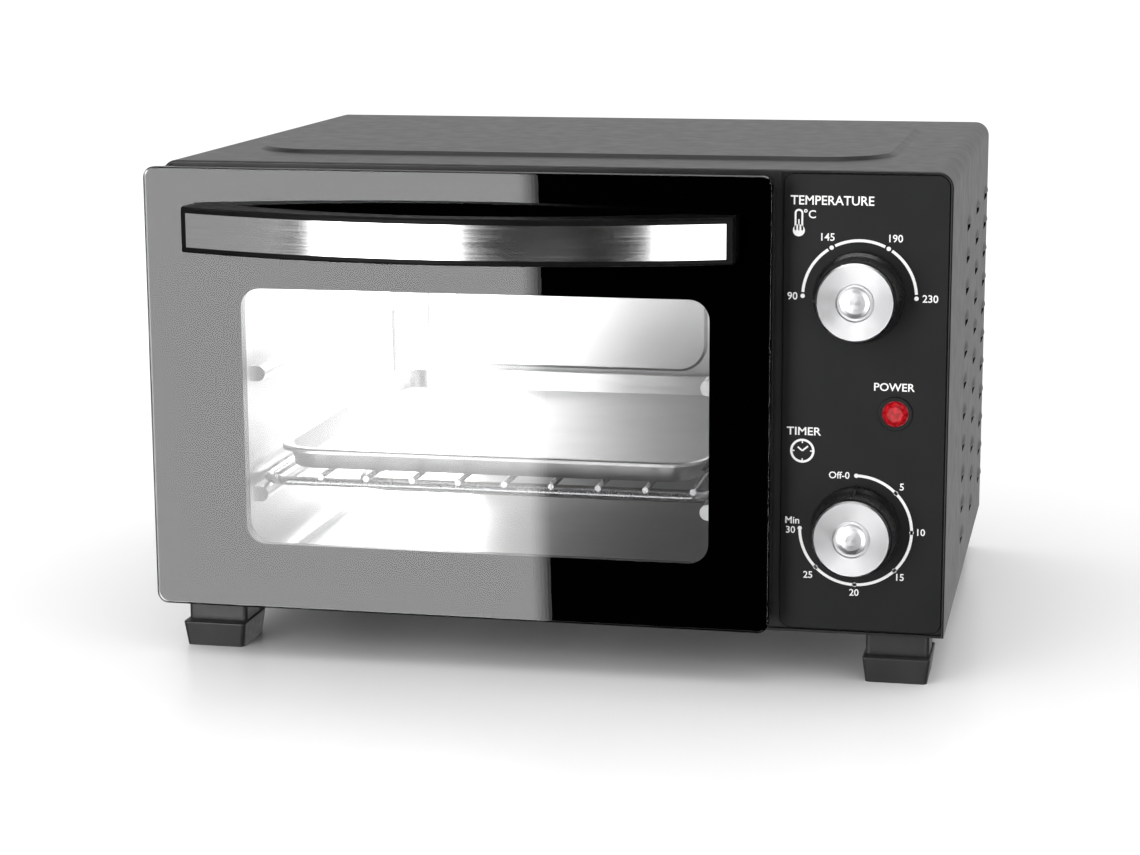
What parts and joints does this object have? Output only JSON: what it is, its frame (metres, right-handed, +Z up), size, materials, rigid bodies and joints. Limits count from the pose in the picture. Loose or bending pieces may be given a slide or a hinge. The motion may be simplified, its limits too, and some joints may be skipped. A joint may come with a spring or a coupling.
{
  "type": "toaster oven",
  "caption": "Countertop toaster oven with a drop-down glass door, bow handle, temperature and timer dials, power lamp, wire rack and baking tray.",
  "frame": {"origin": "middle of the whole object's footprint, on the surface it stands on", "axes": "+X to the right seen from the front, the door faces -Y, +Z up"},
  "size_m": [0.3562, 0.3304, 0.2265],
  "materials": {
    "black_enamel": "satin powder coat, fine orange peel",
    "panel_black": "satin black fascia with light printing",
    "bright_sheet": "bright aluminised sheet",
    "zinc_sheet": "dull zinc-coated sheet",
    "element_steel": "dull sheathed tube",
    "plated_steel": "bright plated",
    "white_ceramic": "glazed ceramic",
    "knob_black": "fine moulded",
    "knob_silver": "spun, satin",
    "lamp_red": "clear red, faceted",
    "clear_glass": "tempered, polished",
    "black_print": "black enamel print",
    "black_rubber": "matt",
    "handle_black": "satin moulded",
    "handle_steel": "long-grain brushed",
    "chromed_wire": "bright",
    "foot_black": "moulded",
    "lead_insulation": "glass-braided sleeve"
  },
  "bodies": {
    "chassis": {"housing": "black_enamel", "base_plate": "black_enamel", "back_cover": "black_enamel", "front_frame": "black_enamel", "control_panel": "panel_black", "cavity_liner": "bright_sheet", "cavity_back": "bright_sheet", "heat_shield": "zinc_sheet", "crumb_tray": "bright_sheet", "upper_element": "element_steel", "lower_element": "element_steel", "element_bushings": "white_ceramic", "element_terminals": "plated_steel", "thermostat_body": "plated_steel", "timer_body": "plated_steel", "timer_bell": "plated_steel", "lamp_lens": "lamp_red", "lamp_bezel": "panel_black", "lamp_holder": "white_ceramic", "hinge_brackets": "plated_steel", "door_bumpers": "black_rubber", "door_spring": "plated_steel", "spring_anchor": "zinc_sheet", "terminal_block": "white_ceramic", "wiring": "lead_insulation", "cord_gland": "foot_black", "rear_spacers": "foot_black", "back_screws": "plated_steel", "foot_front_left": "foot_black", "foot_front_right": "foot_black", "foot_rear_left": "foot_black", "foot_rear_right": "foot_black", "foot_screws": "plated_steel", "foot_nuts": "plated_steel"},
    "door": {"door_glass": "clear_glass", "door_mask": "black_print", "door_frame": "black_enamel", "door_arm": "plated_steel", "arm_rivets": "plated_steel", "hinge_pins": "plated_steel", "handle_bar": "handle_black", "handle_strip": "handle_steel", "handle_screws": "plated_steel", "handle_grommets": "black_rubber"},
    "temperature_dial": {"temperature_knob": "knob_black", "temperature_cap": "knob_silver", "thermostat_shaft": "plated_steel"},
    "timer_dial": {"timer_knob": "knob_black", "timer_cap": "knob_silver", "timer_shaft": "plated_steel"},
    "rack": {"wire_rack": "chromed_wire"},
    "tray": {"baking_tray": "bright_sheet"}
  },
  "joints": [
    {"name": "door_hinge", "type": "hinge", "parent": "chassis", "child": "door", "pos_m": [-0.0378, -0.12285, 0.03], "axis": [1, 0, 0], "range_deg": [0, 80], "stiffness_Nm_per_rad": 0.15, "springref_deg": -40.11, "deforming": ["door_spring"]},
    {"name": "temperature_turn", "type": "hinge", "parent": "chassis", "child": "temperature_dial", "pos_m": [0.1379, -0.12485, 0.171], "axis": [0, 1, 0], "range_deg": [0, 180]},
    {"name": "timer_turn", "type": "hinge", "parent": "chassis", "child": "timer_dial", "pos_m": [0.1379, -0.12485, 0.0687], "axis": [0, 1, 0], "range_deg": [0, 270]},
    {"name": "rack_slide", "type": "slide", "parent": "chassis", "child": "rack", "axis": [0, -1, 0], "range_m": [0, 0.084]},
    {"name": "tray_lift", "type": "slide", "parent": "rack", "child": "tray", "axis": [0, 0, 1], "range_m": [0, 0.03]}
  ],
  "couplings": [
    {"joint": "rack_slide", "follows": "door_hinge", "m_per_rad": 0.06}
  ]
}
